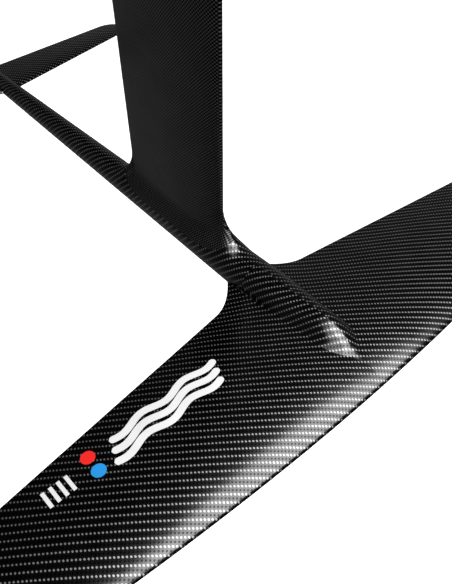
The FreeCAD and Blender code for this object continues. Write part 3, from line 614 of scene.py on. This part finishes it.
def over_wing(x, y, z, side):
    """Cloth laid over the front wing and its bump, its threads turned a little from the fuselage's line."""
    away = side * y
    lead, trail, _, _ = wing_plan(away)
    chord = np.maximum(lead - trail, 1e-6)
    station, climb = climb_of_section()
    cloth_x = x + chord * np.interp((lead - x) / chord, station, climb)
    grid_x, grid_y, grid = climb_of_bump()
    column = np.clip((x - grid_x[0]) / (grid_x[1] - grid_x[0]), 0, len(grid_x) - 1.001)
    row = np.clip(away / (grid_y[1] - grid_y[0]), 0, len(grid_y) - 1.001)
    i, j = column.astype(int), row.astype(int)
    u, v = column - i, row - j
    here = ((1 - u) * (1 - v) * grid[i, j] + u * (1 - v) * grid[i + 1, j]
            + (1 - u) * v * grid[i, j + 1] + u * v * grid[i + 1, j + 1])
    total = (1 - u) * grid[i, -1] + u * grid[i + 1, -1]
    _, _, half_width = bump_heights(x, away)
    on_bump = (z > WING_PLANE) & (x > FUSELAGE_FRONT)
    held = smooth_step(FUSELAGE_FRONT, CLOTH_HELD, x)
    shift = (here - held * total) * (1 - smooth_step(0.97, 1.03, away / half_width) * (1 - held))
    cloth_y = y + side * np.where(on_bump, shift, 0.0)
    turn = math.radians(CLOTH_TURN)
    return (cloth_x * math.cos(turn) + cloth_y * math.sin(turn),
            cloth_y * math.cos(turn) - cloth_x * math.sin(turn))


# ---------------------------------------------------------------- marks on the front wing

def strip(name, centres, half_width):
    """Thin film along a line of (x, y) points on the wing's upper face."""
    centres = np.array(centres, float)
    tangent = np.gradient(centres, axis=0)
    tangent /= np.maximum(np.hypot(*tangent.T), 1e-9)[:, None]
    normal = np.stack([-tangent[:, 1], tangent[:, 0]], 1)
    across = np.linspace(-1, 1, 7)[:, None, None]
    plan = centres + across * normal * np.asarray(half_width)[..., None]
    upper, _ = wing_heights(plan[..., 0], np.abs(plan[..., 1]))
    top = np.dstack([plan, upper + MARK_ABOVE])
    bottom = np.dstack([plan, upper - MARK_BELOW])
    skin = Skin()
    skin.grid(top)
    skin.grid(bottom, flip=True)
    skin.grid(np.stack([top[:, 0], bottom[:, 0]]))
    skin.grid(np.stack([top[:, -1], bottom[:, -1]]))
    skin.grid(np.stack([top[0], bottom[0]]))
    skin.grid(np.stack([top[-1], bottom[-1]]))
    return skin.build(name)


def build_marks():
    """Three white water waves side by side, and short white dashes outboard of them."""
    marks = []
    t = np.linspace(0, 1, 110)
    fade = np.clip(np.minimum(t, 1 - t) / 0.03, 0, 1)
    width = WAVE_HALF_WIDTH * np.sqrt(np.maximum(1 - (1 - fade) ** 2, 0.0004))
    ripple = 2.4 * np.sin(2 * math.pi * WAVE_COUNT * t)
    for k in range(3):
        x = WAVE_REAR + 8.6 * k + ripple + 3 * t
        y = WAVE_START - 101.0 * t - 3.5 * k
        marks.append(strip(f"wave_mark_{k + 1}", np.stack([x, y], 1), width))
    for k in range(4):
        line = np.stack([np.linspace(153, 167, 12), np.full(12, DASH_START - 6.0 * k)], 1)
        marks.append(strip(f"dash_mark_{k + 1}", line, np.full(12, 1.4)))
    return marks


def disc(name, x, y, radius):
    """Round film about a point on the wing's upper face."""
    t = -np.cos(np.linspace(0, math.pi, 41))
    line = np.stack([np.full_like(t, x), y + radius * t], 1)
    width = radius * np.sqrt(np.clip(1 - t ** 2, 0.0001, 1))
    return strip(name, line, width)


# ---------------------------------------------------------------- materials

class Graph:
    """Short-hand for a node tree: every call adds one node and returns its first output."""

    def __init__(self, tree):
        self.tree = tree
        tree.nodes.clear()

    def node(self, kind, inputs=(), **settings):
        item = self.tree.nodes.new(kind)
        for name, value in settings.items():
            setattr(item, name, value)
        for key, value in (inputs.items() if isinstance(inputs, dict) else enumerate(inputs)):
            if isinstance(value, bpy.types.NodeSocket):
                self.tree.links.new(value, item.inputs[key])
            elif value is not None:
                item.inputs[key].default_value = value
        return item

    def math(self, operation, *inputs):
        return self.node("ShaderNodeMath", inputs, operation=operation).outputs[0]

    def vector(self, operation, *inputs):
        item = self.node("ShaderNodeVectorMath", inputs, operation=operation)
        return item.outputs["Value" if operation == "DOT_PRODUCT" else "Vector"]

    def pick(self, chooser, when_zero, when_one):
        """One of two numbers, or a mix of both."""
        inputs = {0: chooser, 2: when_zero, 3: when_one}
        return self.node("ShaderNodeMix", inputs, data_type="FLOAT").outputs[0]

    def spread(self, value, low, high, new_low, new_high, shape="LINEAR"):
        inputs = (value, low, high, new_low, new_high)
        return self.node("ShaderNodeMapRange", inputs, interpolation_type=shape).outputs[0]

    def noise(self, place, scale, detail=3.0):
        inputs = {"Vector": place, "Scale": scale, "Detail": detail}
        return self.node("ShaderNodeTexNoise", inputs).outputs[0]


def new_material(name):
    material = bpy.data.materials.new(name)
    material.use_nodes = True
    return material, Graph(material.node_tree)


def finish_material(graph, **sockets):
    """Principled shader with these sockets, named with underscores for spaces."""
    inputs = {name.replace("_", " "): value for name, value in sockets.items()}
    shader = graph.node("ShaderNodeBsdfPrincipled", inputs)
    graph.node("ShaderNodeOutputMaterial", {"Surface": shader.outputs[0]})


# Half length and half width of the painted spot on each float, in tows: a painted highlight on the warp
# floats, painted shade on the weft floats.
PAINTED_SPOT_LENGTH = 0.5
PAINTED_SPOT_WIDTH = 0.8

# The metallic shade and roughness of the resin and of the painted spots on the two sets of tows (a painted
# highlight on the warp, painted shade on the weft), how many tows each float passes over, and how far the
# tows wander, in metres.
FLAT_LOOK = {"floats": 2, "wander": 0.0004, "resin": 0.045, "warp": 0.3, "weft": 0.012,
             "resin_rough": 0.22, "warp_rough": 0.52}
# The mast's cloth is a plain weave of finer tows; its resin and spots are darker than the flat cloth's, as
# painted shade.
MAST_LOOK = dict(FLAT_LOOK, floats=1, wander=0.0002, resin=0.022, warp=0.17, weft=0.003,
                 resin_rough=0.3)
PLATE_LOOK = dict(FLAT_LOOK, resin_rough=0.4, warp_rough=0.45)


def weave(graph, along, across, tow, floats):
    """Twill that floats over two tows, or plain weave over one.

    Gives which tow is on top, and the place along and across its float.
    """
    u = graph.math("MULTIPLY", along, 1 / tow)
    v = graph.math("MULTIPLY", across, 1 / tow)
    column = graph.math("FLOOR", u)
    row = graph.math("FLOOR", v)
    u_in = graph.math("SUBTRACT", u, column)
    v_in = graph.math("SUBTRACT", v, row)
    shifted = graph.math("ADD", graph.math("SUBTRACT", column, row), 0.5)
    phase = graph.math("WRAP", shifted, 2.0 * floats, 0.0)
    warp = graph.math("LESS_THAN", phase, float(floats))
    warp_long = graph.math("SUBTRACT", graph.math("ADD", phase, u_in), 0.5 * floats + 0.5)
    weft_long = graph.math("ADD", graph.math("SUBTRACT", 1.5 * floats - 0.5, phase), v_in)
    u_side = graph.math("MULTIPLY_ADD", u_in, 2.0, -1.0)
    v_side = graph.math("MULTIPLY_ADD", v_in, 2.0, -1.0)
    return warp, warp_long, weft_long, u_side, v_side


def painted_spot(graph, long_place, side_place):
    """Round painted spot in the middle of a float, the painted highlight of a warp float and the painted
    shade of a weft float: 1 at its centre, 0 at its rim.
    """
    lengthwise = graph.math("POWER", graph.math("MULTIPLY", long_place, 1 / PAINTED_SPOT_LENGTH), 2.0)
    sideways = graph.math("POWER", graph.math("MULTIPLY", side_place, 1 / PAINTED_SPOT_WIDTH), 2.0)
    return graph.spread(graph.math("ADD", lengthwise, sideways), 0.25, 1.3, 1.0, 0.0, "SMOOTHSTEP")


def carbon(name, upright, tow, look):
    """Carbon cloth in clear resin, laid flat (upright False) or along the mast's flank, with a painted
    highlight on each warp float and painted shade on each weft float.
    """
    material, graph = new_material(name)
    place = graph.node("ShaderNodeTexCoord").outputs["Object"]
    sway = graph.noise(place, 14.0, 1.0)
    draped = graph.node("ShaderNodeAttribute", attribute_name="drape").outputs["Vector"]
    apart = graph.node("ShaderNodeSeparateXYZ", (graph.vector("ADD", place, draped),))
    wander = graph.math("MULTIPLY", graph.math("SUBTRACT", sway, 0.5), look["wander"])
    along = graph.math("ADD", apart.outputs[0], wander)
    across = graph.math("ADD", apart.outputs[2 if upright else 1], wander)
    floats = look["floats"]
    warp, warp_long, weft_long, u_side, v_side = weave(graph, along, across, tow, floats)
    # Painted highlight on the crown of each warp float and painted shade on each weft float, set as a
    # brighter and a darker metallic tint.
    warp_painted_highlight = graph.math("MULTIPLY", painted_spot(graph, warp_long, v_side), warp)
    weft_painted_shade = graph.math("MULTIPLY", painted_spot(graph, weft_long, u_side), graph.math("SUBTRACT", 1.0, warp))
    drift = graph.spread(graph.noise(place, 40.0, 2.0), 0.3, 0.7, 0.9, 1.1)
    fibre = graph.spread(graph.noise(place, 2600.0, 1.0), 0.3, 0.7, 0.92, 1.08)
    shade = graph.pick(weft_painted_shade, graph.pick(warp_painted_highlight, look["resin"], look["warp"]), look["weft"])
    shade = graph.math("MULTIPLY", shade, graph.math("MULTIPLY", drift, fibre))
    colour = graph.node("ShaderNodeCombineColor", (shade, shade, shade)).outputs[0]
    uneven = graph.spread(graph.noise(place, 90.0, 3.0), 0.3, 0.7, -0.02, 0.02)
    rough = graph.math("ADD", graph.pick(warp_painted_highlight, look["resin_rough"], look["warp_rough"]), uneven)
    finish_material(graph, Base_Color=colour, Metallic=1.0, Roughness=rough)
    return material


def film(name, colour):
    """Printed film: nearly even colour, with faint mottling and a little texture."""
    material, graph = new_material(name)
    place = graph.node("ShaderNodeTexCoord").outputs["Object"]
    mottle = graph.spread(graph.noise(place, 60.0, 4.0), 0.3, 0.7, 0.94, 1.04)
    parts = [graph.math("MULTIPLY", mottle, part) for part in colour]
    tint = graph.node("ShaderNodeCombineColor", parts).outputs[0]
    grain = graph.noise(place, 3000.0, 2.0)
    rough = graph.spread(grain, 0.3, 0.7, 0.38, 0.48)
    bump = graph.node("ShaderNodeBump", {"Height": grain, "Strength": 0.15, "Distance": 0.0001})
    finish_material(graph, Base_Color=tint, Roughness=rough, Normal=bump.outputs[0])
    return material


def plain(name, colour, metallic, rough, scale, stretch=(1.0, 1.0, 1.0), depth=0.2):
    """Solid material with grain: brushed metal, foam or moulded plastic."""
    material, graph = new_material(name)
    place = graph.node("ShaderNodeTexCoord").outputs["Object"]
    stretched = graph.vector("MULTIPLY", place, stretch)
    grain = graph.noise(stretched, scale, 4.0)
    mottle = graph.spread(grain, 0.3, 0.7, 0.8, 1.1)
    parts = [graph.math("MULTIPLY", mottle, part) for part in colour]
    tint = graph.node("ShaderNodeCombineColor", parts).outputs[0]
    roughness = graph.spread(grain, 0.3, 0.7, rough - 0.06, rough + 0.06)
    bump = graph.node("ShaderNodeBump", {"Height": grain, "Strength": depth, "Distance": 0.0002})
    finish_material(graph, Base_Color=tint, Metallic=metallic, Roughness=roughness,
                    Normal=bump.outputs[0])
    return material


# ---------------------------------------------------------------- light, floor and camera

# Direction of each softbox, the angles where it starts and where it is full, and its radiance.
SOFTBOXES = (
    ((-0.50, 0.85, 0.20), 55, 8, 0.14),
    ((0.46, -0.38, 0.80), 36, 9, 4.5),
    ((-0.60, -0.20, -0.75), 60, 10, 0.08),
    ((-0.55, -0.75, -0.10), 75, 25, 0.07),
)


def build_world():
    """White behind the object; in reflections a dark studio with a few soft lights."""
    world = bpy.data.worlds.new("studio")
    bpy.context.scene.world = world
    world.use_nodes = True
    graph = Graph(world.node_tree)
    way = graph.node("ShaderNodeTexCoord").outputs["Generated"]
    height = graph.node("ShaderNodeSeparateXYZ", (way,)).outputs[2]
    light = graph.spread(height, -0.25, 0.05, 0.03, 0.02, "SMOOTHSTEP")
    for direction, outer, inner, strength in SOFTBOXES:
        facing = graph.vector("DOT_PRODUCT", way, tuple(Vector(direction).normalized()))
        lobe = graph.spread(facing, math.cos(math.radians(outer)), math.cos(math.radians(inner)),
                            0.0, strength, "SMOOTHSTEP")
        light = graph.math("ADD", light, lobe)
    seen = graph.node("ShaderNodeLightPath").outputs["Is Camera Ray"]
    strength = graph.pick(seen, light, 1.0)
    background = graph.node("ShaderNodeBackground", {"Color": (1, 1, 1, 1), "Strength": strength})
    graph.node("ShaderNodeOutputWorld", {"Surface": background.outputs[0]})


def build_key_light():
    """Round softbox high over the port bow."""
    way = Vector((0.50, 0.25, 0.82)).normalized()
    target = Vector((0.15, -0.05, AXIS_LEVEL))
    distance, radius, radiance = 0.9, 0.42, 9.0
    data = bpy.data.lights.new("key_softbox", "AREA")
    data.shape = "DISK"
    data.size = 2 * radius
    data.energy = radiance * math.pi ** 2 * radius ** 2
    light = bpy.data.objects.new("key_softbox", data)
    light.location = target + way * distance
    light.rotation_mode = "QUATERNION"
    light.rotation_quaternion = way.to_track_quat("Z", "Y")
    light.visible_camera = False
    bpy.context.scene.collection.objects.link(light)


def build_floor():
    """Plain white floor well below the object, lit from itself so that it shows no horizon."""
    floor = bpy.data.meshes.new("floor")
    reach, depth = 6.0, 1.2
    level = AXIS_LEVEL - depth
    floor.from_pydata([(-reach, -reach, level), (reach, -reach, level), (reach, reach, level),
                       (-reach, reach, level)], [], [(0, 1, 2, 3)])
    obj = bpy.data.objects.new("floor", floor)
    bpy.context.scene.collection.objects.link(obj)
    obj.visible_glossy = False
    material, graph = new_material("floor_paint")
    place = graph.node("ShaderNodeTexCoord").outputs["Object"]
    shade = graph.spread(graph.noise(place, 3.0), 0.3, 0.7, 0.86, 0.9)
    tint = graph.node("ShaderNodeCombineColor", (shade, shade, shade)).outputs[0]
    finish_material(graph, Base_Color=tint, Roughness=0.9, Emission_Color=(1, 1, 1, 1),
                    Emission_Strength=0.8)
    floor.materials.append(material)


def build_camera():
    """Starboard bow view, looking down on the joint of the mast, the fuselage and the front wing."""
    azimuth, elevation = math.radians(47.958), math.radians(47.436)
    target = Vector((0.1019, -0.0295, AXIS_LEVEL))
    distance = 0.5351
    back = Vector((math.sin(azimuth) * math.cos(elevation), -math.cos(azimuth) * math.cos(elevation),
                   math.sin(elevation)))
    data = bpy.data.cameras.new("camera")
    data.lens = 38.71
    data.sensor_width = 36.0
    data.clip_start = 0.02
    camera = bpy.data.objects.new("camera", data)
    camera.location = target + back * distance
    camera.rotation_mode = "QUATERNION"
    camera.rotation_quaternion = (-back).to_track_quat("-Z", "Y")
    bpy.context.scene.collection.objects.link(camera)
    bpy.context.scene.camera = camera


# ---------------------------------------------------------------- put together

def dress(obj, *materials):
    """Give the object these materials in place of its own."""
    obj.data.materials.clear()
    for material in materials:
        obj.data.materials.append(material)


def add_piece(obj, slot, replaced, *materials):
    """Dress a piece, keep which face has which material, attach it to the root body and hide the parts it
    replaces.
    """
    kinds = np.zeros(len(obj.data.polygons), np.int32)
    obj.data.polygons.foreach_get("material_index", kinds)
    dress(obj, *materials)
    obj.data.polygons.foreach_set("material_index", kinds)
    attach(obj, "root")
    if replaced:
        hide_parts(*replaced)


build_camera()
build_world()
build_key_light()
build_floor()

flat_cloth = carbon("carbon_twill_flat", False, 0.00182, FLAT_LOOK)
mast_cloth = carbon("carbon_weave_mast", True, 0.00135, MAST_LOOK)
plate_cloth = carbon("carbon_plate_cloth", False, 0.00195, PLATE_LOOK)
white_film = film("white_film", (0.52, 0.52, 0.52))
red_film = film("red_film", (0.56, 0.012, 0.01))
blue_film = film("blue_film", (0.01, 0.19, 0.48))
steel = plain("brushed_steel", (0.6, 0.6, 0.62), 1.0, 0.3, 900.0, (1.0, 8.0, 1.0))
foam = plain("closed_foam", (0.75, 0.68, 0.5), 0.0, 0.8, 700.0, depth=0.6)
laminate = plain("solid_laminate", (0.03, 0.03, 0.032), 0.3, 0.45, 400.0, (1.0, 6.0, 6.0))
moulded = plain("moulded_plastic", (0.04, 0.04, 0.045), 0.0, 0.5, 1200.0)

shell = build_mast_and_fuselage()
lay_cloth(shell, round_fuselage)
add_piece(shell, "carbon_shell", ("mast_fuselage_shell_port", "mast_fuselage_shell_starboard"),
          flat_cloth, mast_cloth)
wing = build_front_wing()
lay_cloth(wing, over_wing)
add_piece(wing, "carbon_shell", ("front_wing_upper_skin", "front_wing_lower_skin"), flat_cloth)
stabilizer = build_stabilizer()
add_piece(stabilizer, "carbon_shell", ("stabilizer_upper_skin", "stabilizer_lower_skin"), flat_cloth)
for mark in build_marks():
    add_piece(mark, "carbon_shell", (), white_film)
add_piece(disc("accent_dot_red", 152.0, DOT_SPAN, DOT_RADIUS), "carbon_shell", (), red_film)
add_piece(disc("accent_dot_blue", 166.0, DOT_SPAN, DOT_RADIUS), "carbon_shell", (), blue_film)

NODE_MATERIALS = {
    "carbon_plate": plate_cloth,
    "solid_carbon": laminate,
    "foam_core": foam,
    "stainless": steel,
    "shim_plastic": moulded,
    "carbon_shell": flat_cloth,
}
for part in frame["record"]["subparts"]:
    dress(frame["nodes"][part["node"]], NODE_MATERIALS[part["material_slot"]])

bpy.context.scene.view_settings.view_transform = "Standard"
